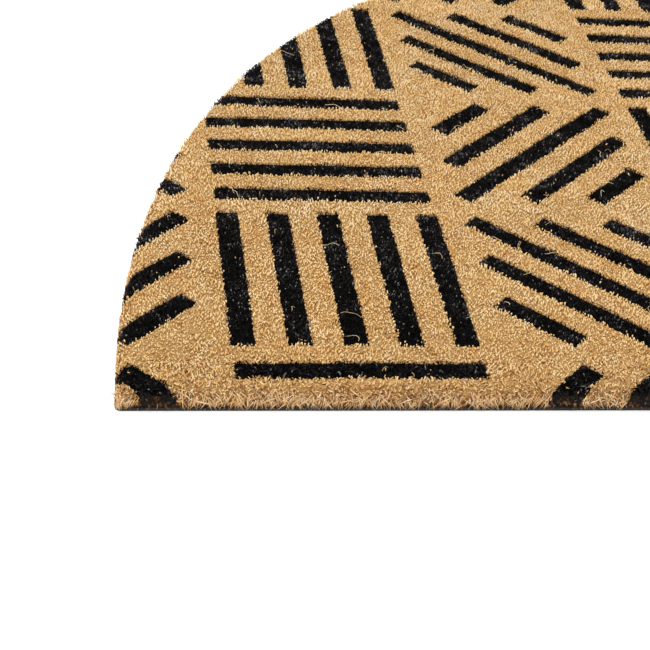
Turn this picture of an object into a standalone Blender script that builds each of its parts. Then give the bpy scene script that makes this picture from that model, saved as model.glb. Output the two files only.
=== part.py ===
"""Half-round coir doormat, lying flat with its pile up.

A die-cut PVC sheet carries a dense cut pile of coir fibre. The outline is half
an ellipse: the straight side is the front edge and the curved side is the back.
Units are metres, +Z is up and the origin is the middle of the outline's box, on
the face that lies on the floor. The front edge runs along X at the lowest Y.
"""

import math

import bmesh
import bpy
from mathutils import Vector, noise

# The outline
MAT_WIDTH = 0.900
MAT_DEPTH = 0.600
CORNER_RADIUS = 0.003
ARC_STEPS = 190
FRONT_STEPS = 96

# The heights of the two layers
BACKING_THICKNESS = 0.002
LAYER_GAP = 0.0003
MAT_HEIGHT = 0.014

# The pile's wall from its foot up: height above the backing's top as a share of
# the pile's height, how far the wall lies inside the backing's edge, and how
# far its tufts make it wander from that line.
WALL_ROWS = (
    # share, inset, wander
    (0.00, 0.0014, 0.0000),
    (0.30, 0.0012, 0.0003),
    (0.68, 0.0012, 0.0008),
    (0.90, 0.0022, 0.0009),
    (1.00, 0.0046, 0.0006),
)
TUFTS_PER_METRE = 95.0

# The trodden pile's top: soft lumps on a grid fine enough to hold them
GRID_PITCH = 0.020
LUMP_HEIGHT = 0.0005
LUMPS_PER_METRE = 28.0

# Colours in linear light, read as plain values for the two finishes
COIR_TAN = (0.53, 0.33, 0.13, 1.0)
PVC_BLACK = (0.022, 0.021, 0.022, 1.0)


def clear_scene():
    for obj in list(bpy.data.objects):
        bpy.data.objects.remove(obj)


def new_collection(name):
    collection = bpy.data.collections.new(name)
    bpy.context.scene.collection.children.link(collection)
    return collection


def plain_material(name, colour, roughness, metallic=0.0):
    material = bpy.data.materials.new(name)
    material.use_nodes = True
    shader = material.node_tree.nodes["Principled BSDF"]
    shader.inputs["Base Color"].default_value = colour
    shader.inputs["Roughness"].default_value = roughness
    shader.inputs["Metallic"].default_value = metallic
    return material


def outline_points():
    """The backing's edge as points that run anticlockwise from the front left corner."""
    half_width = MAT_WIDTH / 2
    front = -MAT_DEPTH / 2
    points = [
        Vector((-half_width + MAT_WIDTH * step / FRONT_STEPS, front))
        for step in range(FRONT_STEPS)
    ]
    for step in range(ARC_STEPS):
        turn = math.pi * step / ARC_STEPS
        across = half_width * math.cos(turn)
        along = front + MAT_DEPTH * math.sin(turn)
        points.append(Vector((across, along)))
    return points


def outward_directions(points):
    """The unit vector that points away from the mat at each point of its edge."""
    directions = []
    count = len(points)
    for index, point in enumerate(points):
        before = (point - points[index - 1]).normalized()
        after = (points[(index + 1) % count] - point).normalized()
        sideways = Vector((before.y + after.y, -before.x - after.x))
        miter = max(0.5, 1.0 + before.dot(after))
        directions.append(sideways / miter)
    return directions


def outline_face(mesh, points, height):
    """A flat face on these points, facing up, which the caller extrudes into a slab."""
    ring = [mesh.verts.new((point.x, point.y, height)) for point in points]
    return mesh.faces.new(ring)


def raise_face(mesh, face, shift):
    """Extrudes a face straight up and gives the raised copy."""
    region = [face, *face.edges]
    raised = bmesh.ops.extrude_face_region(mesh, geom=region)["geom"]
    corners = [part for part in raised if isinstance(part, bmesh.types.BMVert)]
    bmesh.ops.translate(mesh, verts=corners, vec=(0.0, 0.0, shift))
    return next(part for part in raised if isinstance(part, bmesh.types.BMFace))


def make_object(mesh, name, material, collection):
    bmesh.ops.recalc_face_normals(mesh, faces=mesh.faces)
    data = bpy.data.meshes.new(name)
    mesh.to_mesh(data)
    mesh.free()
    data.materials.append(material)
    obj = bpy.data.objects.new(name, data)
    collection.objects.link(obj)
    return obj


def corner_edges(mesh):
    """The upright edges at the two ends of the straight front side."""
    near = MAT_WIDTH / 2 - CORNER_RADIUS
    return [
        edge
        for edge in mesh.edges
        if all(abs(vert.co.x) > near for vert in edge.verts)
        and all(abs(vert.co.y + MAT_DEPTH / 2) < CORNER_RADIUS for vert in edge.verts)
        and abs(edge.verts[0].co.z - edge.verts[1].co.z) > BACKING_THICKNESS / 2
    ]


def make_backing(material, collection):
    """The PVC sheet: the outline, one thickness up, with its two corners eased."""
    mesh = bmesh.new()
    foot = outline_face(mesh, outline_points(), 0.0)
    raise_face(mesh, foot, BACKING_THICKNESS)
    bmesh.ops.bevel(
        mesh,
        geom=corner_edges(mesh),
        offset=CORNER_RADIUS,
        segments=4,
        profile=0.5,
        affect="EDGES",
        material=-1,
    )
    return make_object(mesh, "pvc_backing", material, collection)


def wall_line(points, directions, inset, wander, height):
    """One row of the pile's wall, pushed in and out by the tufts that make it up."""
    line = []
    for point, outward in zip(points, directions):
        place = Vector((point.x, point.y, height)) * TUFTS_PER_METRE
        offset = wander * noise.noise(place) - inset
        line.append(point + outward * offset)
    return line


def lump(point):
    """How far the pile's top stands above or below its mean height."""
    place = Vector((point.x, point.y, 0.0)) * LUMPS_PER_METRE
    return LUMP_HEIGHT * noise.noise(place)


def cut_on_grid(mesh, face):
    """Cuts the top face on a square grid, so that its lumps have points to stand on."""
    parts = [face, *face.edges, *face.verts]
    for size, direction in ((MAT_WIDTH, (1, 0, 0)), (MAT_DEPTH, (0, 1, 0))):
        lines = int(size / GRID_PITCH)
        for index in range(lines):
            place = (index + 0.5 - lines / 2) * GRID_PITCH
            cut = bmesh.ops.bisect_plane(
                mesh,
                geom=parts,
                plane_co=Vector(direction) * place,
                plane_no=direction,
            )
            parts = cut["geom"]


def make_pile(material, collection):
    """The coir pile: a slab whose wall leans and wanders and whose top is softly lumpy."""
    points = outline_points()
    directions = outward_directions(points)
    foot_height = BACKING_THICKNESS + LAYER_GAP
    pile_height = MAT_HEIGHT - LUMP_HEIGHT - foot_height

    mesh = bmesh.new()
    face = None
    level = foot_height
    for share, inset, wander in WALL_ROWS:
        height = foot_height + pile_height * share
        line = wall_line(points, directions, inset, wander, height)
        if face is None:
            face = outline_face(mesh, line, height)
            continue
        face = raise_face(mesh, face, height - level)
        level = height
        for vert, place in zip(face.verts, line):
            vert.co.x = place.x
            vert.co.y = place.y

    cut_on_grid(mesh, face)
    for vert in mesh.verts:
        if vert.co.z > level - LUMP_HEIGHT:
            vert.co.z += lump(vert.co)
    return make_object(mesh, "coir_pile", material, collection)


def main():
    clear_scene()
    doormat = new_collection("coir_doormat")
    make_backing(plain_material("pvc_backing", PVC_BLACK, 0.55), doormat)
    make_pile(plain_material("coir_pile", COIR_TAN, 0.92), doormat)


main()
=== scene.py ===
# %% [markdown]
# # A half-round coir doormat
#
# Coir is the short, stiff fibre of coconut husk. In a mat like this one the cut
# fibres stand on end in a thin PVC sheet, as dense as a brush, and the mat is
# then cut out with a die. Black bars are printed on the tips of the pile.
#
# From a step away such a mat is all texture: fibre ends that catch the light,
# dark pits between them, a shaggier wall along the cut edge and a ragged border
# wherever dyed fibres meet natural ones. A bump map on a slab would look flat
# from the side, so most of this lesson grows real fibres. The cells go from the
# bottom up: sheet, bed, nap, rim, loose fibres, light.

import math
from functools import partial

import bmesh
import bpy
import numpy as np
from mathutils import Matrix, Vector


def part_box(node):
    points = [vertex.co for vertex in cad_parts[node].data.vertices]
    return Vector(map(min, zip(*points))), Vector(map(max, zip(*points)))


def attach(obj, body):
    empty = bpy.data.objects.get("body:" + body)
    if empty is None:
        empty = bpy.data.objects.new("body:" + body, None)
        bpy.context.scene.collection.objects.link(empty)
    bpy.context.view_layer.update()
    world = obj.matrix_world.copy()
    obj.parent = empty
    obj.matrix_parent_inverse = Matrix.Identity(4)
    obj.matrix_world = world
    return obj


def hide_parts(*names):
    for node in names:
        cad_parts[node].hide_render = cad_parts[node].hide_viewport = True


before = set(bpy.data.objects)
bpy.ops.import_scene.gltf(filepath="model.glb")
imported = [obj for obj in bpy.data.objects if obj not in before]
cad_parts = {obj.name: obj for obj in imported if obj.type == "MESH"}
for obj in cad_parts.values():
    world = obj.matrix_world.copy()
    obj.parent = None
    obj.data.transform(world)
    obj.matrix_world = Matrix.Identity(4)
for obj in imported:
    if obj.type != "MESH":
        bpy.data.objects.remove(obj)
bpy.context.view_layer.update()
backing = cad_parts["pvc_backing"]
print("solids in the frame:", sorted(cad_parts))

# %% [markdown]
# ## The camera
#
# The camera comes first, so that every later step can be judged by eye. It
# stands low in front of the left corner, looks down at about 35 degrees and is
# turned slightly to the right. It also leans over a little, which is why the
# front edge runs level in the picture although the camera sees it at an angle.
# A long lens keeps the far side from shrinking much. Three turns, one after the
# other, are easier to correct than a ready-made rotation.

# %% Camera
CAMERA_PLACE = (-0.462, -0.911, 0.493)
CAMERA_BEARING = math.radians(10.6)
CAMERA_LOOK_DOWN = math.radians(35.2)
CAMERA_LEAN = math.radians(6.58)
FOCAL_LENGTH = 85.1


def add_object(name, data):
    """Puts a mesh, curve, lamp or camera in the scene."""
    item = bpy.data.objects.new(name, data)
    bpy.context.scene.collection.objects.link(item)
    return item


camera_data = bpy.data.cameras.new("camera")
camera_data.lens = FOCAL_LENGTH
camera_data.sensor_width = 36.0
camera_data.clip_start = 0.01
camera = add_object("camera", camera_data)
turned = Matrix.Rotation(-CAMERA_BEARING, 4, "Z")
tilted = Matrix.Rotation(math.pi / 2 - CAMERA_LOOK_DOWN, 4, "X")
leaning = Matrix.Rotation(CAMERA_LEAN, 4, "Z")
camera.matrix_world = Matrix.Translation(CAMERA_PLACE) @ turned @ tilted @ leaning
bpy.context.scene.camera = camera
print("camera at", [round(v, 3) for v in camera.matrix_world.translation])

# %% [markdown]
# ## The outline as a sum
#
# The die that cuts the mat is half an ellipse. Nearly everything that follows
# needs to know how far a point is from the cut edge and which way is out: the
# pile is rounded off there, its fibres lean outwards and no root may stand past
# the sheet. The ellipse's own equation answers that for a few hundred thousand
# points at once.

# %% Outline
LOW, HIGH = (Vector(corner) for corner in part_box("pvc_backing"))
HALF_WIDTH = 0.450
FRONT = LOW.y
DEPTH = HIGH.y - LOW.y
SHEET_TOP = HIGH.z


def rim_distance(points):
    """How far inside the cut edge each point lies, in metres, exact near the edge."""
    across = points[:, 0] / HALF_WIDTH
    along = (points[:, 1] - FRONT) / DEPTH
    radius = np.maximum(np.hypot(across, along), 1e-6)
    slope = np.hypot(across / HALF_WIDTH, along / DEPTH) / radius
    return np.minimum(points[:, 1] - FRONT, (1 - radius) / np.maximum(slope, 1e-6))


def way_out(points):
    """The unit direction that leads from each point to the nearest part of the edge."""
    across = points[:, 0] / HALF_WIDTH**2
    along = (points[:, 1] - FRONT) / DEPTH**2
    outward = np.column_stack([across, along])
    outward /= np.maximum(np.linalg.norm(outward, axis=1, keepdims=True), 1e-6)
    curved = rim_distance(points) < points[:, 1] - FRONT - 1e-9
    return np.where(curved[:, None], outward, [[0.0, -1.0]])


print("outline:", 2 * HALF_WIDTH, "x", round(DEPTH, 3), "m")
print("sheet:", round(SHEET_TOP, 4), "m thick")

# %% [markdown]
# ## The printed bars as a sum
#
# The print is a plain, regular parquet: bars 13 mm wide and 30 mm apart, five
# to a square block, and each block turned by an eighth of a turn from its
# neighbour. In a block that stands on its corner the bars get shorter towards
# the sides, and every bar has square ends.
#
# The sum is needed twice: here for single fibres, and later, built from shader
# nodes, for the surfaces whose colour changes within one piece.

# %% Printed bars
BLOCK = 0.150
BLOCK_PRINTED = 0.134
BAR = 0.0135
BAR_PITCH = 0.0305
BARS_EACH_SIDE = 2
HALF_BAR = BLOCK_PRINTED / 2
CORNER_GAIN = HALF_BAR * (math.sqrt(2) - 1) - BAR / 2
BLOCKS_START = (-0.3966, -0.2681)
FIRST_TURN = 2


def in_a_bar(points):
    """True for each point of the mat that the print covers."""
    grid = (points - BLOCKS_START) / BLOCK
    block = np.floor(grid)
    local = (grid - block - 0.5) * BLOCK
    eighths = np.mod(block[:, 0] + 2 * block[:, 1] + FIRST_TURN, 4)
    turn = eighths * math.pi / 4
    along = local[:, 0] * np.cos(turn) + local[:, 1] * np.sin(turn)
    offset = local[:, 1] * np.cos(turn) - local[:, 0] * np.sin(turn)
    bar = np.floor(offset / BAR_PITCH + 0.5)
    from_bar = np.abs(offset - bar * BAR_PITCH)
    on_corner = np.mod(eighths, 2)
    half = HALF_BAR + on_corner * (CORNER_GAIN - np.abs(bar) * BAR_PITCH)
    return (from_bar < BAR / 2) & (np.abs(along) < half) & (np.abs(bar) <= BARS_EACH_SIDE)


trial = np.random.default_rng(1).uniform((-0.2, -0.2), (0.2, 0.2), (20000, 2))
print("share of the pile that is printed:", round(float(in_a_bar(trial).mean()), 3))

# %% [markdown]
# ## Helpers for shader nodes
#
# Node trees written in full are long and hide their sense. Small helpers keep
# them readable. The first places any node and fills its inputs with values or
# with links, and the others use it for the nodes that come back often.

# %% Node helpers
def place(tree, kind, inputs=None, **settings):
    """Adds a node. Each input takes a value, or a link if it is given a socket."""
    node = tree.nodes.new(kind)
    for name, value in settings.items():
        setattr(node, name, value)
    for key, value in (inputs or {}).items():
        if isinstance(value, bpy.types.NodeSocket):
            tree.links.new(value, node.inputs[key])
        else:
            node.inputs[key].default_value = value
    return node


def reckon(tree, operation, *terms, clamp=False):
    """One step of arithmetic, on numbers or sockets."""
    inputs = dict(enumerate(terms))
    node = place(tree, "ShaderNodeMath", inputs, operation=operation, use_clamp=clamp)
    return node.outputs[0]


def spread(tree, value, low, high, to_low=0.0, to_high=1.0):
    """Stretches a value from one range to another and holds it there."""
    inputs = {"Value": value, "From Min": low, "From Max": high}
    inputs.update({"To Min": to_low, "To Max": to_high})
    return place(tree, "ShaderNodeMapRange", inputs, clamp=True).outputs["Result"]


def speckle(tree, vector, per_metre, detail=2.0, roughness=0.5):
    """Noise of so many lumps to the metre, from 0 to 1."""
    inputs = {"Vector": vector, "Scale": per_metre, "Detail": detail, "Roughness": roughness}
    return place(tree, "ShaderNodeTexNoise", inputs).outputs["Fac"]


def blend_colours(tree, share, first, second, blend_type="MIX"):
    """Mixes two colours. This node's colour sockets have numbers, as their names repeat."""
    inputs = {0: share, 6: first, 7: second}
    node = place(tree, "ShaderNodeMix", inputs, data_type="RGBA", blend_type=blend_type)
    return node.outputs[2]


def colour_ramp(tree, value, stops):
    """A ramp through (position, colour) stops."""
    node = place(tree, "ShaderNodeValToRGB", {"Fac": value})
    ramp = node.color_ramp
    while len(ramp.elements) < len(stops):
        ramp.elements.new(0.5)
    for element, (position, colour) in zip(ramp.elements, stops):
        element.position = position
        element.color = (*colour, 1.0)
    return node.outputs["Color"]


def new_group(name, inputs, outputs):
    """An empty node group with these sockets. Gives the tree and its two end nodes."""
    tree = bpy.data.node_groups.new(name, "ShaderNodeTree")
    for way, sockets in (("INPUT", inputs), ("OUTPUT", outputs)):
        for label, kind in sockets.items():
            tree.interface.new_socket(label, in_out=way, socket_type="NodeSocket" + kind)
    return tree, tree.nodes.new("NodeGroupInput"), tree.nodes.new("NodeGroupOutput")


def add_bump(tree, shader, height, strength, distance):
    inputs = {"Height": height, "Strength": strength, "Distance": distance}
    bump = place(tree, "ShaderNodeBump", inputs)
    tree.links.new(bump.outputs["Normal"], shader.inputs["Normal"])


def new_material(name, roughness, specular):
    """A material and its shader, with the two values that stay the same all over."""
    material = bpy.data.materials.new(name)
    material.use_nodes = True
    shader = material.node_tree.nodes["Principled BSDF"]
    shader.inputs["Roughness"].default_value = roughness
    shader.inputs["Specular IOR Level"].default_value = specular
    return material, material.node_tree, shader


print("node helpers ready")

# %% [markdown]
# ## The print as a node group
#
# On the bed of the pile and on the wall of the rim, one piece is part natural
# and part printed, so the bars have to be worked out in the shader. The group
# takes Object coordinates, which on these pieces are the mat's own metres, and
# repeats the sum above. Before that it shakes the place a little with fine
# noise: paint creeps along single fibres, so the border of a bar is ragged.

# %% Print group
CREEP_PER_METRE = 620.0


def move_place(tree, operation, inputs):
    return place(tree, "ShaderNodeVectorMath", inputs, operation=operation).outputs[0]


def build_print_group():
    tree, start, end = new_group(
        "printed_bars", {"Vector": "Vector", "Creep": "Float"}, {"Dye": "Float"}
    )
    step = partial(reckon, tree)
    inputs = {"Vector": start.outputs["Vector"], "Scale": CREEP_PER_METRE, "Detail": 1.0}
    shake = place(tree, "ShaderNodeTexNoise", inputs).outputs["Color"]
    centred = move_place(tree, "SUBTRACT", {0: shake, 1: (0.5, 0.5, 0.5)})
    shift = move_place(tree, "SCALE", {0: centred, "Scale": start.outputs["Creep"]})
    shaken = move_place(tree, "ADD", {0: start.outputs["Vector"], 1: shift})
    parts = place(tree, "ShaderNodeSeparateXYZ", {0: shaken}).outputs

    blocks = []
    locals_ = []
    for part, begin in zip(parts, BLOCKS_START):
        grid = step("DIVIDE", step("SUBTRACT", part, begin), BLOCK)
        block = step("FLOOR", grid)
        share = step("SUBTRACT", step("SUBTRACT", grid, block), 0.5)
        blocks.append(block)
        locals_.append(step("MULTIPLY", share, BLOCK))

    count = step("MULTIPLY_ADD", blocks[1], 2.0, blocks[0])
    eighths = step("FLOORED_MODULO", step("ADD", count, FIRST_TURN), 4.0)
    turn = step("MULTIPLY", eighths, math.pi / 4)
    cosine, sine = step("COSINE", turn), step("SINE", turn)
    first = step("MULTIPLY", locals_[0], cosine)
    along = step("MULTIPLY_ADD", locals_[1], sine, first)
    second = step("MULTIPLY", locals_[0], sine)
    offset = step("SUBTRACT", step("MULTIPLY", locals_[1], cosine), second)

    bar = step("FLOOR", step("MULTIPLY_ADD", offset, 1 / BAR_PITCH, 0.5))
    middle = step("MULTIPLY", bar, BAR_PITCH)
    from_bar = step("ABSOLUTE", step("SUBTRACT", offset, middle))
    gain = step("SUBTRACT", CORNER_GAIN, step("ABSOLUTE", middle))
    on_corner = step("FLOORED_MODULO", eighths, 2.0)
    half = step("MULTIPLY_ADD", on_corner, gain, HALF_BAR)

    on_bar = step("LESS_THAN", from_bar, BAR / 2)
    within = step("LESS_THAN", step("ABSOLUTE", along), half)
    counted = step("LESS_THAN", step("ABSOLUTE", bar), BARS_EACH_SIDE + 0.5)
    dye = step("MULTIPLY", on_bar, step("MULTIPLY", within, counted))
    tree.links.new(dye, end.inputs["Dye"])
    return tree


def bar_dye(tree, spot, creep):
    """1 where a spot of the mat is in a bar and 0 elsewhere, from the group."""
    inputs = {"Vector": spot, "Creep": creep}
    return place(tree, "ShaderNodeGroup", inputs, node_tree=printed_bars).outputs["Dye"]


printed_bars = build_print_group()
print("print group has", len(printed_bars.nodes), "nodes")

# %% [markdown]
# ## The colour of coir as a node group
#
# No two coir fibres have the same colour. Most are a warm golden tan, some are
# pale straw and a few are brown where husk still sticks to them. A colour for
# the whole pile would look painted, so the group takes a shade from 0 to 1,
# which each fibre brings with it, and turns it into one of those colours. Slow
# noise over a hand's width makes some areas a touch paler than others, as
# bales of fibre differ, and faster noise leaves rusty spots the size of a pea.
# The last two inputs say how far along its fibre a point lies, and the colour of
# the painted shade at the root, where dense neighbours keep a fibre dark and what
# light gets down there has turned orange.

# %% Coir colour group
HUSK_BROWN = (0.21, 0.088, 0.026)
DULL_TAN = (0.62, 0.385, 0.142)
GOLDEN_TAN = (0.740, 0.532, 0.252)
PALE_STRAW = (0.76, 0.625, 0.425)
PATCHES_PER_METRE = 16.0
PATCH_TINT = (1.0, 0.955, 0.90, 1.0)
RUST_SPOTS_PER_METRE = 130.0
RUST_TINT = (0.90, 0.73, 0.60, 1.0)


def build_coir_group():
    tree, start, end = new_group(
        "coir_colour",
        {"Vector": "Vector", "Shade": "Float", "Along": "Float", "Root Shadow": "Color"},
        {"Color": "Color"},
    )
    stops = [(0.0, HUSK_BROWN), (0.22, DULL_TAN), (0.62, GOLDEN_TAN), (1.0, PALE_STRAW)]
    fibre = colour_ramp(tree, start.outputs["Shade"], stops)

    patch = speckle(tree, start.outputs["Vector"], PATCHES_PER_METRE, 3.0)
    patch = spread(tree, patch, 0.35, 0.65)
    tinted = blend_colours(tree, patch, fibre, PATCH_TINT, "MULTIPLY")
    rust = speckle(tree, start.outputs["Vector"], RUST_SPOTS_PER_METRE, 2.0)
    rust = spread(tree, rust, 0.58, 0.74)
    tinted = blend_colours(tree, rust, tinted, RUST_TINT, "MULTIPLY")

    # Painted shade: the colour is darkened towards the root by the Root Shadow colour and is free
    # of it at the top of the run.
    rise = spread(tree, start.outputs["Along"], 0.0, 1.0)
    shadow_veil = blend_colours(tree, rise, start.outputs["Root Shadow"], (1.0, 1.0, 1.0, 1.0))
    colour = blend_colours(tree, 1.0, tinted, shadow_veil, "MULTIPLY")
    tree.links.new(colour, end.inputs["Color"])
    return tree


def coir_tone(tree, spot, shade, along, root_shadow):
    """The colour of coir at a spot of the mat, from the group."""
    inputs = {"Vector": spot, "Shade": shade, "Along": along, "Root Shadow": (*root_shadow, 1.0)}
    return place(tree, "ShaderNodeGroup", inputs, node_tree=coir_colour).outputs["Color"]


coir_colour = build_coir_group()
print("coir colour group has", len(coir_colour.nodes), "nodes")

# %% [markdown]
# ## The sheet
#
# The mat lies on a black PVC sheet 2 mm thick. Only its cut edge shows, as a
# thin dark line under the pile, and its underside when the mat is turned over.
# Its solid has the right shape, so it keeps its mesh and only gets a finish:
# matt black with a fine grain from the rollers, a little grey dust, and small
# pimples that keep it from sliding.

# %% Sheet finish
SHEET_STOPS = [
    (0.30, (0.009, 0.0085, 0.009)),
    (0.62, (0.017, 0.0155, 0.016)),
    (0.85, (0.045, 0.040, 0.037)),
]
PIMPLES_PER_METRE = 260.0
GRAIN_PER_METRE = 1400.0


def pvc_finish():
    material, tree, shader = new_material("pvc_sheet", 0.55, 0.18)
    on_mat = place(tree, "ShaderNodeTexCoord").outputs["Object"]
    dust = speckle(tree, on_mat, 55.0, 6.0, 0.65)
    tree.links.new(colour_ramp(tree, dust, SHEET_STOPS), shader.inputs["Base Color"])
    tree.links.new(spread(tree, dust, 0.3, 0.75, 0.48, 0.68), shader.inputs["Roughness"])

    cells = {"Vector": on_mat, "Scale": PIMPLES_PER_METRE}
    pimple = place(tree, "ShaderNodeTexVoronoi", cells).outputs["Distance"]
    pimple = spread(tree, pimple, 0.12, 0.34, 1.0, 0.0)
    grain = speckle(tree, on_mat, GRAIN_PER_METRE, 3.0)
    height = reckon(tree, "MULTIPLY_ADD", grain, 0.35, pimple)
    add_bump(tree, shader, height, 0.35, 0.0003)
    return material


pvc_sheet = pvc_finish()
for material_slot in backing.material_slots:
    material_slot.material = pvc_sheet
print("sheet finished:", pvc_sheet.name)

# %% [markdown]
# ## The bed of the pile
#
# Between the fibre ends one looks down into the pile, onto more fibres in the
# dark. Growing all of them would take millions of faces that nobody sees, so a
# solid bed fills the pile up to about 2 mm under its tips. It has the wall and
# the rounded shoulder of the real pile, only a little smaller.
#
# A capped circle, stretched and cut in half, gives the outline in three calls.
# Each row of the wall is then one extrusion, pushed in by that row's inset. The
# top is cut on a grid so that it has points for the soft lumps of a pile that
# has been trodden on. The nap will follow the same lumps.

# %% Bed shape
BED_FOOT = SHEET_TOP + 0.0003
BED_TOP = 0.0119
BED_INSET = 0.0016
CURVE_STEPS = 760
FRONT_STEPS = 360
BED_GRID = 0.0090

# Height above the foot as a share of the bed's height, and how much further in
# than BED_INSET
BED_ROWS = ((0.35, 0.0), (0.62, 0.0004), (0.82, 0.0014), (0.94, 0.0029), (1.0, 0.0050))


def drift(points, cell, seed):
    """Smooth random values from -1 to 1 over the mat, about one lump to each cell."""
    size = (int(1.1 / cell) + 3, int(0.8 / cell) + 3)
    table = np.random.default_rng(seed).uniform(-1, 1, size)
    spot = (points + (0.55, 0.40)) / cell
    whole = np.floor(spot).astype(int)
    part = spot - whole
    part = part * part * (3 - 2 * part)
    column, row = whole[:, 0], whole[:, 1]
    near = table[column, row] * (1 - part[:, 0]) + table[column + 1, row] * part[:, 0]
    far = table[column, row + 1] * (1 - part[:, 0]) + table[column + 1, row + 1] * part[:, 0]
    return near * (1 - part[:, 1]) + far * part[:, 1]


def soft_lumps(points):
    """How far a trodden pile stands above or below its mean height."""
    return 0.0004 * drift(points, 0.022, 35) + 0.0003 * drift(points, 0.045, 11)


def half_round(mesh, height):
    """A face with the mat's outline: a stretched circle without its front half."""
    bmesh.ops.create_circle(mesh, cap_ends=True, segments=CURVE_STEPS, radius=1.0)
    bmesh.ops.scale(mesh, verts=mesh.verts, vec=(HALF_WIDTH, DEPTH, 1.0))
    bmesh.ops.translate(mesh, verts=mesh.verts, vec=(0.0, FRONT, height))
    everything = [*mesh.verts, *mesh.edges, *mesh.faces]
    bmesh.ops.bisect_plane(
        mesh, geom=everything, plane_co=(0, FRONT, 0), plane_no=(0, 1, 0), clear_inner=True
    )
    longest = max(mesh.edges, key=lambda edge: edge.calc_length())
    bmesh.ops.subdivide_edges(mesh, edges=[longest], cuts=FRONT_STEPS - 1)
    mesh.faces.ensure_lookup_table()
    return mesh.faces[0]


def pull_in(face, inset):
    """Moves a face's corners inwards from the mat's edge by this much."""
    points = np.array([vert.co[:2] for vert in face.verts])
    mended = points - way_out(points) * (inset - rim_distance(points))[:, None]
    for vert, (across, along) in zip(face.verts, mended):
        edge = HALF_WIDTH - inset
        vert.co.x = min(max(across, -edge), edge)
        vert.co.y = max(along, FRONT + inset)


def raise_face(mesh, face, shift):
    region = [face, *face.edges]
    raised = bmesh.ops.extrude_face_region(mesh, geom=region)["geom"]
    corners = [part for part in raised if isinstance(part, bmesh.types.BMVert)]
    bmesh.ops.translate(mesh, verts=corners, vec=(0.0, 0.0, shift))
    return next(part for part in raised if isinstance(part, bmesh.types.BMFace))


def cut_on_grid(mesh, face, pitch):
    parts = [face, *face.edges, *face.verts]
    for size, way in ((2 * HALF_WIDTH, (1, 0, 0)), (DEPTH, (0, 1, 0))):
        lines = int(size / pitch)
        for index in range(lines):
            spot = Vector(way) * ((index + 0.5 - lines / 2) * pitch)
            parts = bmesh.ops.bisect_plane(mesh, geom=parts, plane_co=spot, plane_no=way)["geom"]


def add_piece(name, data, material):
    """Puts a mesh in the scene as a piece of the mat that stands for the pile's solid."""
    piece = add_object(name, data)
    data.materials.clear()
    data.materials.append(material)
    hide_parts("coir_pile")
    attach(piece, "root")
    return piece


def bed_mesh():
    mesh = bmesh.new()
    face = half_round(mesh, BED_FOOT)
    level = BED_FOOT
    pull_in(face, BED_INSET)
    for share, further in BED_ROWS:
        height = BED_FOOT + (BED_TOP - BED_FOOT) * share
        face = raise_face(mesh, face, height - level)
        pull_in(face, BED_INSET + further)
        level = height
    cut_on_grid(mesh, face, BED_GRID)
    tops = [vert for vert in mesh.verts if vert.co.z > BED_TOP - 0.0002]
    places = np.array([vert.co[:2] for vert in tops])
    for vert, lump in zip(tops, soft_lumps(places)):
        vert.co.z += lump
    bmesh.ops.recalc_face_normals(mesh, faces=mesh.faces)
    bmesh.ops.triangulate(mesh, faces=[face for face in mesh.faces if len(face.verts) > 4])
    data = bpy.data.meshes.new("coir_bed")
    mesh.to_mesh(data)
    mesh.free()
    return data


bed_data = bed_mesh()
print("bed has", len(bed_data.polygons), "faces")

# %% [markdown]
# ## The bed's finish
#
# Seen between the fibres, the bed should read as shadow with some lower fibres
# in it. Fine noise picks a shade for every millimetre or so and feeds the coir
# colour group, with painted shade at the foot. The colour is then pulled towards
# deep brown, the more so the lower it lies: painted shade for the dark depth of
# the pile.
# Where the print falls, the same place is nearly black, except at the foot of
# the wall, which the paint doesn't reach. A bump from the same noise keeps the
# bed from looking smooth where it shows through.

# %% Bed finish
# Painted shade: the bed's foot and its depth are darkened in colour.
BED_ROOT_SHADOW = (0.60, 0.50, 0.36)
PIT_SHADOW_BROWN = (0.13, 0.046, 0.012, 1.0)
DEEP_BLACK = (0.0015, 0.0015, 0.0015, 1.0)
DYE_STARTS = 0.0030
DYE_FULL = 0.0085


def bed_finish():
    material, tree, shader = new_material("coir_bed", 0.95, 0.05)
    on_mat = place(tree, "ShaderNodeTexCoord").outputs["Object"]
    height = place(tree, "ShaderNodeSeparateXYZ", {0: on_mat}).outputs["Z"]
    strands = speckle(tree, on_mat, 780.0, 3.0, 0.6)
    shade = spread(tree, strands, 0.32, 0.72, 0.0, 0.75)
    along = spread(tree, height, BED_FOOT, BED_TOP)
    natural = coir_tone(tree, on_mat, shade, along, BED_ROOT_SHADOW)
    # Painted shade: the lower the bed lies, the more it is pulled towards deep brown.
    depth = spread(tree, height, BED_FOOT, BED_TOP, 0.85, 0.58)
    natural = blend_colours(tree, depth, natural, PIT_SHADOW_BROWN)

    dye = bar_dye(tree, on_mat, 0.002)
    dye = reckon(tree, "MULTIPLY", dye, spread(tree, height, DYE_STARTS, DYE_FULL))
    colour = blend_colours(tree, dye, natural, DEEP_BLACK)
    tree.links.new(colour, shader.inputs["Base Color"])
    add_bump(tree, shader, strands, 0.9, 0.0012)
    return material


coir_bed = add_piece("coir_bed", bed_data, bed_finish())
print("bed top at", round(max(v.co.z for v in bed_data.vertices), 4), "m")

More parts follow.
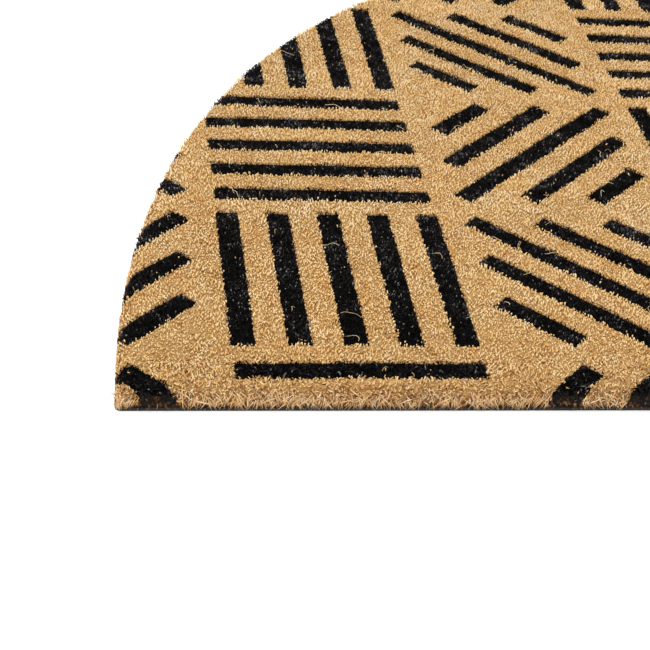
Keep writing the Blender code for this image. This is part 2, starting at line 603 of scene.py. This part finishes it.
# %% [markdown]
# ## One fibre, and a way to grow many
#
# The nap needs about 175,000 fibres, so one fibre must be as simple as a closed
# shape can be: a tetrahedron. On its base it would be a thorn. With one edge
# below and one above, crosswise, it is a blunt stub that is square in its
# middle. On a corner it has a flat top, like a fibre that a blade has just cut.
# The hull round four points makes the first, a cone with three sides the second.
#
# Where whole fibres show, at the rim, a strand has to bend. There a cone with
# three sides is cut across at one or two joints, and the rings are widened
# again so that it tapers only near its tip.
#
# To grow them, numpy moves a copy of the shape's corners for each fibre: out
# along the fibre's direction, sideways for its thickness, and with the square
# of the way along for its bend. One mesh of all copies is far faster than an
# object for each. Two numbers are stored with every corner, for the material to
# read: the fibre's shade, and how far along the fibre it is.

# %% Grow fibres
FLOOR_CLEARANCE = 0.0003
SAME_SPOT = 0.0001
CUT_RADIUS = 0.62
JOINT_TAPER = 0.12


def shape_arrays(mesh):
    """The corners and triangles of a small closed bmesh, which is freed."""
    bmesh.ops.triangulate(mesh, faces=mesh.faces)
    bmesh.ops.recalc_face_normals(mesh, faces=mesh.faces)
    mesh.verts.index_update()
    corners = np.array([vert.co for vert in mesh.verts])
    faces = np.array([[vert.index for vert in face.verts] for face in mesh.faces])
    mesh.free()
    return corners, faces


def stub_template():
    """A blunt fibre of four faces, 1 high and 1 across, with its foot on the origin."""
    mesh = bmesh.new()
    for corner in ((-0.5, 0, 0), (0.5, 0, 0), (0, -0.5, 1), (0, 0.5, 1)):
        mesh.verts.new(corner)
    bmesh.ops.convex_hull(mesh, input=mesh.verts)
    return shape_arrays(mesh)


def three_sided_cone(foot, top):
    """A cone 1 high, with these radii, on the origin. It is pointed where one is 0."""
    mesh = bmesh.new()
    bmesh.ops.create_cone(
        mesh, cap_ends=True, cap_tris=True, segments=3, radius1=foot, radius2=top, depth=1.0
    )
    bmesh.ops.translate(mesh, verts=mesh.verts, vec=(0.0, 0.0, 0.5))
    bmesh.ops.remove_doubles(mesh, verts=mesh.verts, dist=SAME_SPOT)
    return mesh


def cut_end_template():
    """A fibre of four faces that stands on a corner, so that its top is a flat cut end."""
    mesh = three_sided_cone(0.0, CUT_RADIUS)
    bmesh.ops.dissolve_limit(mesh, angle_limit=0.01, verts=mesh.verts, edges=mesh.edges)
    return shape_arrays(mesh)


def strand_template(joints):
    """A three-sided strand, 1 high and 1 across, with joints on its way up and a fine tip."""
    mesh = three_sided_cone(0.5, 0.0)
    for index in range(joints):
        everything = [*mesh.verts, *mesh.edges, *mesh.faces]
        height = (index + 1) / (joints + 1)
        ring = bmesh.ops.bisect_plane(
            mesh, geom=everything, plane_co=(0, 0, height), plane_no=(0, 0, 1)
        )["geom_cut"]
        corners = [part for part in ring if isinstance(part, bmesh.types.BMVert)]
        middle = sum((vert.co for vert in corners), Vector()) / len(corners)
        thickness = max((vert.co - middle).length for vert in corners)
        swell = (0.5 - JOINT_TAPER * (index + 1)) / thickness
        bmesh.ops.scale(mesh, verts=corners, vec=(swell, swell, 1.0))
    return shape_arrays(mesh)


def grow(name, template, roots, rises, widths, bends, shades):
    """One mesh of fibres. Each runs from its root by its rise, and its bend moves its tip."""
    corners, faces = template
    count, size = len(roots), len(corners)
    length = np.linalg.norm(rises, axis=1, keepdims=True)
    along = rises / length
    spin = np.random.default_rng(count).uniform(0, 2 * math.pi, count)
    level = np.stack([np.cos(spin), np.sin(spin), np.zeros(count)], axis=1)
    side = np.cross(along, level)
    side /= np.linalg.norm(side, axis=1, keepdims=True)
    other = np.cross(along, side)

    across = corners[None, :, 0, None] * side[:, None] + corners[None, :, 1, None] * other[:, None]
    height = corners[None, :, 2, None]
    points = roots[:, None] + rises[:, None] * height + bends[:, None] * height**2
    points = points + across * widths[:, None, None]
    points[..., 2] = np.maximum(points[..., 2], FLOOR_CLEARANCE)
    triangles = faces[None] + np.arange(count)[:, None, None] * size

    data = bpy.data.meshes.new(name)
    data.vertices.add(count * size)
    data.vertices.foreach_set("co", points.astype(np.float32).ravel())
    data.loops.add(triangles.size)
    data.loops.foreach_set("vertex_index", triangles.astype(np.int32).ravel())
    data.polygons.add(triangles.size // 3)
    data.polygons.foreach_set("loop_start", np.arange(0, triangles.size, 3, dtype=np.int32))
    data.update(calc_edges=True)
    numbers = {"shade": np.repeat(shades, size), "along": np.tile(corners[:, 2], count)}
    for label, values in numbers.items():
        attribute = data.attributes.new(label, "FLOAT", "POINT")
        attribute.data.foreach_set("value", values.astype(np.float32))
    return data


def read_number(tree, label):
    """The number that each corner brings with it under this name."""
    return place(tree, "ShaderNodeAttribute", attribute_name=label).outputs["Fac"]


STUB = stub_template()
CUT_END = cut_end_template()
BENT_STRAND = strand_template(joints=1)
CURLY_STRAND = strand_template(joints=2)
shapes = (STUB, CUT_END, BENT_STRAND, CURLY_STRAND)
print("faces of one fibre, from stub to curly strand:", [len(faces) for _, faces in shapes])

# %% [markdown]
# ## The nap: where each fibre stands
#
# The nap is the layer of tips that one sees. Its roots stand on a grid of
# about one and a half millimetres, each shaken by up to half a step, so that
# there are no rows and no bald spots. Fibres are pushed in by the tuft, so
# neighbours lean the same way and the next tuft another way. Smooth noise gives
# each place its lean, and every fibre then adds a lean of its own.
#
# Over most of the mat the tips are cut level. Along the front they fray, so for
# about 3 cm the fibres lean and curl more, and their heights differ more. Near
# the cut edge the pile is also rounded off and its fibres splay outwards.

# %% Nap layout
NAP_PITCH = 0.00155
NAP_INSET = 0.0012
NAP_ROOT = 0.0114
NAP_TIP = 0.0136
SHOULDER = 0.0065
SHOULDER_DROP = 0.0042
TUFT = 0.0055
LOOSE_ZONE = 0.034
STEEPEST_LEAN = 1.5
SHORTEST_REACH = 0.0010


def shoulder_drop(distance):
    """How far the pile's top has sunk at this distance from the cut edge."""
    share = np.clip(1 - distance / SHOULDER, 0, 1)
    return SHOULDER_DROP * share**2


def looseness(spots):
    """How loosely the pile stands: 1 at the front edge, where it frays, and 0 further in."""
    into = (spots[:, 1] - FRONT) / LOOSE_ZONE
    return np.clip(1 - into + 0.35 * drift(spots, 0.03, 34), 0, 1)


def nap_roots():
    rng = np.random.default_rng(21)
    across = np.arange(-HALF_WIDTH, HALF_WIDTH, NAP_PITCH)
    along = np.arange(FRONT, FRONT + DEPTH, NAP_PITCH)
    grid = np.stack(np.meshgrid(across, along), axis=-1).reshape(-1, 2)
    grid += rng.uniform(-0.5, 0.5, grid.shape) * NAP_PITCH
    return grid[rim_distance(grid) > NAP_INSET]


def nap_rises(spots):
    """The way from each root to its tip, without its bend."""
    rng = np.random.default_rng(22)
    count = len(spots)
    distance = rim_distance(spots)
    loose = looseness(spots)
    tuft_lean = np.column_stack([drift(spots, TUFT, 31), drift(spots, TUFT, 32)])
    tuft_lean *= (0.40 + 0.35 * loose)[:, None]
    own_lean = rng.normal(0, 1, (count, 2)) * (0.24 + 0.33 * loose)[:, None]
    nearness = np.clip(1 - distance / SHOULDER, 0, 1)
    on_front = spots[:, 1] - FRONT < distance + 1e-6
    splay = way_out(spots) * (nearness * np.where(on_front, 0.55, 0.10))[:, None]
    lean = tuft_lean + own_lean + splay
    steep = np.linalg.norm(lean, axis=1, keepdims=True)
    lean *= np.minimum(1.0, STEEPEST_LEAN / np.maximum(steep, 1e-6))
    tufts = 0.00052 * drift(spots, 0.008, 33) + 0.00026 * drift(spots, 0.0033, 36)
    own = rng.normal(0, 1, count) * (0.00012 + 0.00030 * loose)
    reach = np.maximum(NAP_TIP - NAP_ROOT + (soft_lumps(spots) + tufts + own), SHORTEST_REACH)
    return np.column_stack([lean * reach[:, None], reach])


spots = nap_roots()
rises = nap_rises(spots)
heights = NAP_ROOT - shoulder_drop(rim_distance(spots))
roots = np.column_stack([spots, heights])
print("nap fibres:", len(spots))

# %% [markdown]
# ## The nap: natural and dyed fibres
#
# Paint comes from above, so a fibre is dyed if its upper part stands in a bar.
# The place is shaken first, fibre by fibre and a little by whole tufts, because
# paint doesn't stop at a line and brushing moves the tips afterwards. About one
# fibre in two hundred inside a bar escapes the paint.
#
# Each fibre gets a shade. It varies a little from one fibre to the next and more
# from tuft to tuft. Towards the front, and more where the pile frays, the shades
# are lower and more fibres are husk brown: painted shade that darkens the front.
# A little over half are cut flat, but fewer where the pile frays.

# %% Shades and dye
NAP_WIDTH = 0.00080
CUT_SHARE = 0.55
# How far in from the front the painted shade reaches.
FRONT_SHADOW_DEPTH = 0.15
PALE_SHARE = 0.04
ESCAPED_SHARE = 0.005


def nap_shades(spots, seed):
    """A shade from 0, husk brown, to 1, pale straw, for each fibre."""
    rng = np.random.default_rng(seed)
    loose = looseness(spots)
    front_shadow = np.clip(1 - (spots[:, 1] - FRONT) / FRONT_SHADOW_DEPTH, 0, 1)
    # Painted shade: the shades drop towards the front and where the pile frays.
    shades = 0.63 + 0.09 * rng.normal(0, 1, len(spots)) - 0.14 * front_shadow - 0.12 * loose
    shades += 0.21 * drift(spots, 0.0036, 41) + 0.16 * drift(spots, 0.010, 42)
    # Husk fibres are real, but their larger share towards the front and the frayed pile is painted
    # shade.
    brown = 0.04 + 0.05 * front_shadow + 0.05 * loose + 0.09 * np.clip(drift(spots, 0.005, 43), 0, 1)
    husk = rng.random(len(spots)) < brown
    shades[husk] = rng.uniform(0.0, 0.25, husk.sum())
    pale = rng.random(len(spots)) < PALE_SHARE
    shades[pale] = rng.uniform(0.85, 1.0, pale.sum())
    return np.clip(shades, 0, 1)


def split_dyed(spots, rises):
    """True for each fibre that the paint has reached."""
    rng = np.random.default_rng(23)
    painted = spots + 0.75 * rises[:, :2] + rng.normal(0, 0.00045, spots.shape)
    painted += 0.0006 * np.column_stack([drift(spots, 0.0042, 44), drift(spots, 0.0042, 45)])
    escaped = rng.random(len(spots)) < ESCAPED_SHARE
    return in_a_bar(painted) & ~escaped


rng = np.random.default_rng(24)
widths = NAP_WIDTH * rng.uniform(0.65, 1.25, len(spots))
curls = rng.normal(0, 1, spots.shape) * (0.0003 + 0.0005 * looseness(spots))[:, None]
bends = np.column_stack([curls, rng.normal(0, 0.0001, len(spots))])
shades = nap_shades(spots, 25)
dyed = split_dyed(spots, rises)
cut_flat = rng.random(len(spots)) < CUT_SHARE * (1 - looseness(spots))
print("share dyed:", round(float(dyed.mean()), 3))
print("share cut flat:", round(float(cut_flat.mean()), 3))

# %% [markdown]
# ## Two fibre finishes
#
# Natural coir is matt with a faint waxy glint. Its colour comes from the shared
# group, with the fibre's own shade and a painted shade at the root, for the dark
# between dense fibres, which is gone halfway up. The dyed fibre has soaked up a
# water-based black, which takes its glint away. It isn't an even black: the top
# of its ramp paints a few fibres grey, as painted glints.

# %% Fibre finishes
# Painted shade at the foot of each nap fibre, for the dark between dense fibres.
NAP_ROOT_SHADOW = (0.40, 0.21, 0.06)
# From the print's black to grey: the grey end is painted glints on the black.
DYE_AND_GLINT_STOPS = [
    (0.0, (0.0006, 0.0004, 0.0003)),
    (0.48, (0.0034, 0.0025, 0.0021)),
    (0.80, (0.026, 0.022, 0.021)),
    (1.0, (0.17, 0.16, 0.16)),
]


def natural_finish():
    material, tree, shader = new_material("natural_coir", 0.8, 0.10)
    on_mat = place(tree, "ShaderNodeTexCoord").outputs["Object"]
    # Painted shade: the root's colour fades out a little past halfway up the fibre.
    along = reckon(tree, "MULTIPLY", read_number(tree, "along"), 1.8)
    colour = coir_tone(tree, on_mat, read_number(tree, "shade"), along, NAP_ROOT_SHADOW)
    tree.links.new(colour, shader.inputs["Base Color"])
    streak = speckle(tree, on_mat, 2600.0, 1.0)
    add_bump(tree, shader, streak, 0.10, 0.0002)
    return material


def dyed_finish():
    material, tree, shader = new_material("dyed_coir", 0.5, 0.012)
    on_mat = place(tree, "ShaderNodeTexCoord").outputs["Object"]
    colour = colour_ramp(tree, read_number(tree, "shade"), DYE_AND_GLINT_STOPS)
    tree.links.new(colour, shader.inputs["Base Color"])
    patch = speckle(tree, on_mat, 700.0, 2.0)
    tree.links.new(spread(tree, patch, 0.35, 0.7, 0.42, 0.72), shader.inputs["Roughness"])
    return material


natural_coir = natural_finish()
dyed_coir = dyed_finish()
print("fibre finishes:", natural_coir.name, dyed_coir.name)

# %% [markdown]
# ## The nap's pieces
#
# Natural and dyed fibres are pieces of their own, because they are two
# finishes, and so are blunt stubs and flat cut ends, because they are two
# shapes. The natural ones are also split into a left and a right half, so that
# no mesh gets too heavy.

# %% Nap pieces
def strips(chosen, count):
    """Splits the chosen fibres into strips of equal number, from left to right."""
    order = chosen[np.argsort(spots[chosen, 0], kind="stable")]
    return np.array_split(order, count)


def nap_piece(name, template, chosen, material):
    numbers = (part[chosen] for part in (roots, rises, widths, bends, shades))
    return add_piece(name, grow(name, template, *numbers), material)


for kind, template, flat in (("stubs", STUB, False), ("ends", CUT_END, True)):
    same = cut_flat == flat
    for index, chosen in enumerate(strips(np.flatnonzero(~dyed & same), 2)):
        name = f"natural_{kind}_{index + 1}"
        nap_piece(name, template, chosen, natural_coir)
    chosen = np.flatnonzero(dyed & same)
    nap_piece(f"dyed_{kind}", template, chosen, dyed_coir)

# %% [markdown]
# ## The rim
#
# Where the die cut through the pile, whole fibres show from root to tip. They
# are browner than the tips above and stand in loose tufts that lean out and
# across each other. Along the straight front they splay more than along the
# curve, where the die pressed them together.
#
# These strands are longer than the nap's and get joints, so that they can curl.
# Along the curve all of them stand on the sheet and rise past each other. Along
# the front half of them do, and a few more are fanned out round each corner,
# where rows along straight lines would leave a gap.

# %% Rim strands
FRONT_STRANDS = 5600
CORNER_STRANDS = 200
CURVE_STRANDS = 5600
CORNER_RADIUS = 0.003
RIM_ROOT = SHEET_TOP + 0.0002
YARN_END = 0.0075


def front_places(shares):
    """Points along the straight edge, with the way out."""
    across = (2 * shares - 1) * (HALF_WIDTH - 0.001)
    places = np.column_stack([across, np.full(len(shares), FRONT)])
    return places, way_out(places)


def corner_places(rng, count):
    """Points round the two eased corners of the sheet, with the way out."""
    side = rng.choice([-1.0, 1.0], count)
    turn = rng.uniform(0.0, math.pi / 2, count)
    outward = np.column_stack([side * np.sin(turn), -np.cos(turn)])
    across = side * (HALF_WIDTH - CORNER_RADIUS)
    middle = np.column_stack([across, np.full(count, FRONT + CORNER_RADIUS)])
    return middle + CORNER_RADIUS * outward, outward


def curve_places(shares):
    """Points along the curved edge, evenly spaced, with the way out."""
    turns = np.linspace(math.pi - 0.004, 0.004, 4001)
    curve = np.column_stack([HALF_WIDTH * np.cos(turns), FRONT + DEPTH * np.sin(turns)])
    run = np.concatenate([[0], np.cumsum(np.linalg.norm(np.diff(curve, axis=0), axis=1))])
    at = shares * run[-1]
    places = np.column_stack([np.interp(at, run, line) for line in curve.T])
    return places, way_out(places)


def fan(places):
    """From -1 to 1 across each yarn end along the edge, as its fibres spread like a fan."""
    run = (np.abs(places[:, 0]) * 0.8 + places[:, 1]) / YARN_END + 0.5 * drift(places, 0.02, 55)
    return 2 * (run - np.floor(run)) - 1


def turned_left(ways):
    return np.column_stack([-ways[:, 1], ways[:, 0]])


def corner_room(places):
    """Less than 1 close to a corner, where a strand that sways far would stick out."""
    return np.clip((HALF_WIDTH - np.abs(places[:, 0])) / 0.008, 0.25, 1)


def standing_strands(rng, places, outward, depth, lean, sway, curl):
    """Roots, rises and bends of strands on the sheet, up to this depth inside its edge."""
    count = len(places)
    sideways = turned_left(outward)
    inset = 0.0003 + depth * rng.random(count) ** 1.6
    foot = RIM_ROOT + rng.uniform(0.0, 0.0045, count) * (rng.random(count) < 0.6)
    top = NAP_TIP - shoulder_drop(inset) * 0.8 + rng.normal(0, 0.0005, count)
    reach = (top - foot) * rng.uniform(0.70, 1.0, count)
    out = lean * (0.6 + 0.7 * drift(places, 0.007, 52) + 0.7 * rng.normal(0, 1, count))
    out = np.clip(out, -0.12, 2.6 * lean)
    aside = sway * (0.9 * fan(places) + rng.normal(0, 1, count))
    aside = np.clip(aside, -0.9, 0.9) * corner_room(places)
    flat = (outward * out[:, None] + sideways * aside[:, None]) * reach[:, None]
    rises = np.column_stack([flat, reach])
    bow = outward * rng.normal(0, 0.4 * curl, (count, 1))
    bow = bow + sideways * rng.normal(0, curl, (count, 1))
    bends = np.column_stack([bow, rng.normal(-0.0006, 0.0004, count)])
    return np.column_stack([places - outward * inset[:, None], foot]), rises, bends


print("strands along the edge:", FRONT_STRANDS + CORNER_STRANDS + CURVE_STRANDS)

# %% [markdown]
# ## Strands that hang and lie
#
# The other half of the front's strands start on the shoulder and hang out over
# the wall, some down to the sheet and past its edge. They set off upwards, and
# a bend that points down turns them over. More strands lie about on the frayed
# pile behind the edge, in any direction, and make it look tangled.

# %% Strands that hang and lie
TANGLED_STRANDS = 3000


def hanging_strands(rng, places, outward):
    """Roots, rises and bends of strands that hang from the shoulder out over the wall."""
    count = len(places)
    sideways = turned_left(outward)
    inset = rng.uniform(0.0012, 0.0060, count)
    root = NAP_ROOT - shoulder_drop(inset) - rng.uniform(0.0, 0.0050, count)
    past_edge = inset + rng.uniform(-0.0005, 0.0014, count)
    fall = rng.uniform(0.0020, 0.0100, count)
    covers = rng.random(count) < 0.55 + 0.40 * drift(places, 0.015, 56)
    deepest = root - rng.uniform(0.0002, 0.0012, count)
    lowest = np.where(covers, deepest, np.minimum(fall, deepest))
    up = rng.uniform(0.0010, 0.0030, count)
    aside = (0.0022 * fan(places) + rng.normal(0, 0.0030, count)) * corner_room(places)
    curl = rng.normal(0, 0.0034, count) * corner_room(places)
    rises = outward * (1.35 * past_edge)[:, None] + sideways * aside[:, None]
    bends = outward * (-0.35 * past_edge)[:, None] + sideways * curl[:, None]
    return (
        np.column_stack([places - outward * inset[:, None], root]),
        np.column_stack([rises, up]),
        np.column_stack([bends, -(up + lowest)]),
    )


def tangled_strands(rng, count):
    """Roots, rises and bends of strands that lie about on the frayed front of the pile."""
    into = 0.0015 + 0.027 * rng.random(count) ** 1.3
    across = rng.uniform(-1, 1, count) * (HALF_WIDTH - 0.005)
    bearing = rng.uniform(0, 2 * math.pi, count)
    heading = np.column_stack([np.cos(bearing), np.sin(bearing)])
    flat = heading * rng.uniform(0.0015, 0.0045, (count, 1)) + (0.0, -0.0006)
    up = rng.uniform(0.0008, 0.0020, count)
    root = NAP_ROOT + 0.0008 - shoulder_drop(into)
    bow = turned_left(heading) * rng.normal(0, 0.0016, (count, 1))
    return (
        np.column_stack([across, FRONT + into, root]),
        np.column_stack([flat, up]),
        np.column_stack([bow, -up * rng.uniform(0.6, 1.5, count)]),
    )


print("tangled strands on the front:", TANGLED_STRANDS)

# %% [markdown]
# ## The rim's pieces and finishes
#
# Down in the wall the strands are browner than the nap, and their shades lie
# further apart. The print is sprayed on from above: it soaks the upper part of
# the wall and reaches the foot only in places, with stained brown fibres between.
# Front and curve share the finish but not its painted shade at the root. Between
# the loose strands of the front that painted shade is a deep brown, for the dark
# gaps, and on the pressed curve it is paler, or it would draw a hard line.

# %% Rim pieces
RIM_PALE_SHARE = 0.28
RIM_TINT = (1.0, 0.93, 0.90, 1.0)
# Painted shade at the foot of the rim's strands: deep brown on the front, for the dark gaps, and
# paler on the curve.
FRAYED_ROOT_SHADOW = (0.24, 0.105, 0.034)
PRESSED_ROOT_SHADOW = (0.56, 0.38, 0.21)
STAIN_TINT = (0.46, 0.36, 0.29, 1.0)
RIM_DYE = (0.006, 0.005, 0.0045, 1.0)


def rim_shades(rng, spots):
    count = len(spots)
    # The strands' shades are set lower than the nap's, so the wall is browner.
    shades = 0.43 + 0.30 * rng.normal(0, 1, count) + 0.22 * drift(spots[:, :2], 0.009, 57)
    pale = rng.random(count) < RIM_PALE_SHARE
    shades[pale] = rng.uniform(0.8, 1.0, pale.sum())
    return np.clip(shades, 0, 1)


def front_rim_mesh():
    rng = np.random.default_rng(51)
    ends = [front_places(rng.random(FRONT_STRANDS)), corner_places(rng, CORNER_STRANDS)]
    places, outward = (np.concatenate(parts) for parts in zip(*ends))
    hanging = rng.random(len(places)) < 0.50
    ways = [
        standing_strands(rng, places[~hanging], outward[~hanging], 0.0060, 0.20, 0.45, 0.0026),
        hanging_strands(rng, places[hanging], outward[hanging]),
        tangled_strands(rng, TANGLED_STRANDS),
    ]
    roots, rises, bends = (np.concatenate(parts) for parts in zip(*ways))
    widths = rng.uniform(0.00075, 0.00130, len(roots))
    shades = rim_shades(rng, roots)
    return grow("front_rim", CURLY_STRAND, roots, rises, widths, bends, shades)


def curved_rim_mesh():
    rng = np.random.default_rng(54)
    places, outward = curve_places(rng.random(CURVE_STRANDS))
    roots, rises, bends = standing_strands(rng, places, outward, 0.0035, 0.04, 0.26, 0.0012)
    widths = rng.uniform(0.00045, 0.00075, CURVE_STRANDS)
    shades = rim_shades(rng, roots)
    return grow("curved_rim", BENT_STRAND, roots, rises, widths, bends, shades)


def rim_finish(name, root_shadow):
    material, tree, shader = new_material(name, 0.78, 0.20)
    on_mat = place(tree, "ShaderNodeTexCoord").outputs["Object"]
    # Painted shade: the root's colour fades out two thirds of the way up each strand.
    along = reckon(tree, "MULTIPLY", read_number(tree, "along"), 1.5)
    natural = coir_tone(tree, on_mat, read_number(tree, "shade"), along, root_shadow)
    natural = blend_colours(tree, 1.0, natural, RIM_TINT, "MULTIPLY")
    dye = bar_dye(tree, on_mat, 0.004)
    stained = blend_colours(tree, dye, natural, STAIN_TINT, "MULTIPLY")
    height = place(tree, "ShaderNodeSeparateXYZ", {0: on_mat}).outputs["Z"]
    soaked = speckle(tree, on_mat, 300.0, 1.0)
    soaked = spread(tree, reckon(tree, "MULTIPLY_ADD", height, 30.0, soaked), 0.52, 0.62)
    dye = reckon(tree, "MULTIPLY", dye, soaked)
    colour = blend_colours(tree, dye, stained, RIM_DYE)
    tree.links.new(colour, shader.inputs["Base Color"])
    return material


frayed_coir = rim_finish("frayed_coir", FRAYED_ROOT_SHADOW)
pressed_coir = rim_finish("pressed_coir", PRESSED_ROOT_SHADOW)
rim = [
    add_piece("front_rim", front_rim_mesh(), frayed_coir),
    add_piece("curved_rim", curved_rim_mesh(), pressed_coir),
]
print({piece.name: len(piece.data.polygons) for piece in rim})

# %% [markdown]
# ## Loose fibres
#
# A new coir mat always sheds. Pale, curly fibres from 4 to 15 mm long lie on
# it, and they show most on the black bars. They are few, so here each can be a
# smooth curve: a curve object holds them all, one spline for each fibre, and is
# then turned into a mesh. A fibre starts and ends among the tips and bows up a
# little between.

# %% Loose fibres
LOOSE_FIBRES = 340
LOOSE_THICKNESS = 0.00024
LOOSE_POINTS = 9
LOOSE_HEIGHT = 0.0135
CLEAR_OF_EDGE = 0.001


def loose_path(rng, start):
    """Points along one loose fibre, which turns steadily to one side as it runs."""
    length = 0.004 + 0.011 * rng.random() ** 2
    bearing = rng.uniform(0, 2 * math.pi)
    curl = rng.uniform(-2.6, 2.6)
    kink, phase = rng.uniform(0.2, 0.9), rng.uniform(0, 2 * math.pi)
    lift = rng.uniform(0.0004, 0.0022)
    spot = Vector((*start, 0.0))
    path = []
    for index in range(LOOSE_POINTS):
        share = index / (LOOSE_POINTS - 1)
        height = LOOSE_HEIGHT + lift * math.sin(math.pi * share) - 0.0008 * (1 - share)
        path.append((spot.x, spot.y, height))
        heading = bearing + curl * share + kink * math.sin(7 * share + phase)
        spot += Vector((math.cos(heading), math.sin(heading), 0)) * length / (LOOSE_POINTS - 1)
    return path


def loose_mesh():
    rng = np.random.default_rng(64)
    curve = bpy.data.curves.new("loose_fibres", "CURVE")
    curve.dimensions = "3D"
    curve.bevel_depth = LOOSE_THICKNESS / 2
    curve.bevel_resolution = 0
    curve.resolution_u = 2
    curve.use_fill_caps = True
    made = 0
    while made < LOOSE_FIBRES:
        start = rng.uniform((-0.44, -0.30), (0.44, 0.30))
        path = loose_path(rng, start)
        if rim_distance(np.array(path)[:, :2]).min() < CLEAR_OF_EDGE:
            continue
        spline = curve.splines.new("NURBS")
        spline.points.add(len(path) - 1)
        for point, place_of in zip(spline.points, path):
            point.co = (*place_of, 1.0)
            point.radius = rng.uniform(0.75, 1.1)
        spline.use_endpoint_u = True
        spline.order_u = 4
        made += 1
    holder = add_object("loose_curves", curve)
    data = bpy.data.meshes.new_from_object(holder)
    bpy.data.objects.remove(holder)
    data.name = "loose_fibres"
    return data


def loose_finish():
    material, tree, shader = new_material("loose_coir", 0.55, 0.35)
    on_mat = place(tree, "ShaderNodeTexCoord").outputs["Object"]
    tone = speckle(tree, on_mat, 60.0, 2.0)
    stops = [(0.35, (0.46, 0.28, 0.11)), (0.5, (0.72, 0.52, 0.27)), (0.65, (0.84, 0.70, 0.46))]
    tree.links.new(colour_ramp(tree, tone, stops), shader.inputs["Base Color"])
    return material


loose = add_piece("loose_fibres", loose_mesh(), loose_finish())
print("loose fibres:", LOOSE_FIBRES, "with", len(loose.data.polygons), "faces")

# %% [markdown]
# ## The sheet's facts
#
# The mat is one sheet, cut from the roll as half an ellipse and laid flat.

# %% [markdown]
# ## Floor and light
#
# The mat lies on a plain, nearly white floor under plain studio light. A pile
# is read by its shadows: light from all sides alike would fill every pit and
# leave a flat, milky surface. So the white surround gives only about half of
# the light. A very broad lamp, above and behind the mat, gives most of the rest
# and leaves the front wall darker than the top. A weaker lamp in front on the
# left picks out the strands of the wall.

# %% Floor and light
FLOOR_SIZE = 8.0
FLOOR_WHITE = (0.92, 0.92, 0.92, 1.0)
SURROUND = 1.06
LAMPS = (
    # name, place, what it aims at, width, power
    ("key", (-0.5, 1.3, 2.0), (0.0, 0.0, 0.0), 3.2, 54.0),
    ("fill", (-1.2, -1.8, 1.6), (0.0, -0.1, 0.0), 1.1, 36.0),
)


def lay_floor():
    mesh = bmesh.new()
    bmesh.ops.create_grid(mesh, x_segments=1, y_segments=1, size=FLOOR_SIZE / 2)
    data = bpy.data.meshes.new("floor")
    mesh.to_mesh(data)
    mesh.free()
    material, _, shader = new_material("floor_white", 0.9, 0.1)
    shader.inputs["Base Color"].default_value = FLOOR_WHITE
    data.materials.append(material)
    add_object("floor", data)


def hang_lamp(name, place_of, aim, size, power):
    data = bpy.data.lights.new(name, "AREA")
    data.shape = "DISK"
    data.size = size
    data.energy = power
    lamp = add_object(name, data)
    lamp.location = place_of
    lamp.rotation_euler = (Vector(aim) - Vector(place_of)).to_track_quat("-Z", "Y").to_euler()


lay_floor()
for lamp in LAMPS:
    hang_lamp(*lamp)
world = bpy.data.worlds.new("surround")
world.use_nodes = True
background = world.node_tree.nodes["Background"]
background.inputs["Color"].default_value = (1.0, 1.0, 1.0, 1.0)
background.inputs["Strength"].default_value = SURROUND
bpy.context.scene.world = world
bpy.context.scene.view_settings.view_transform = "Standard"
print("floor, surround and two lamps in place")
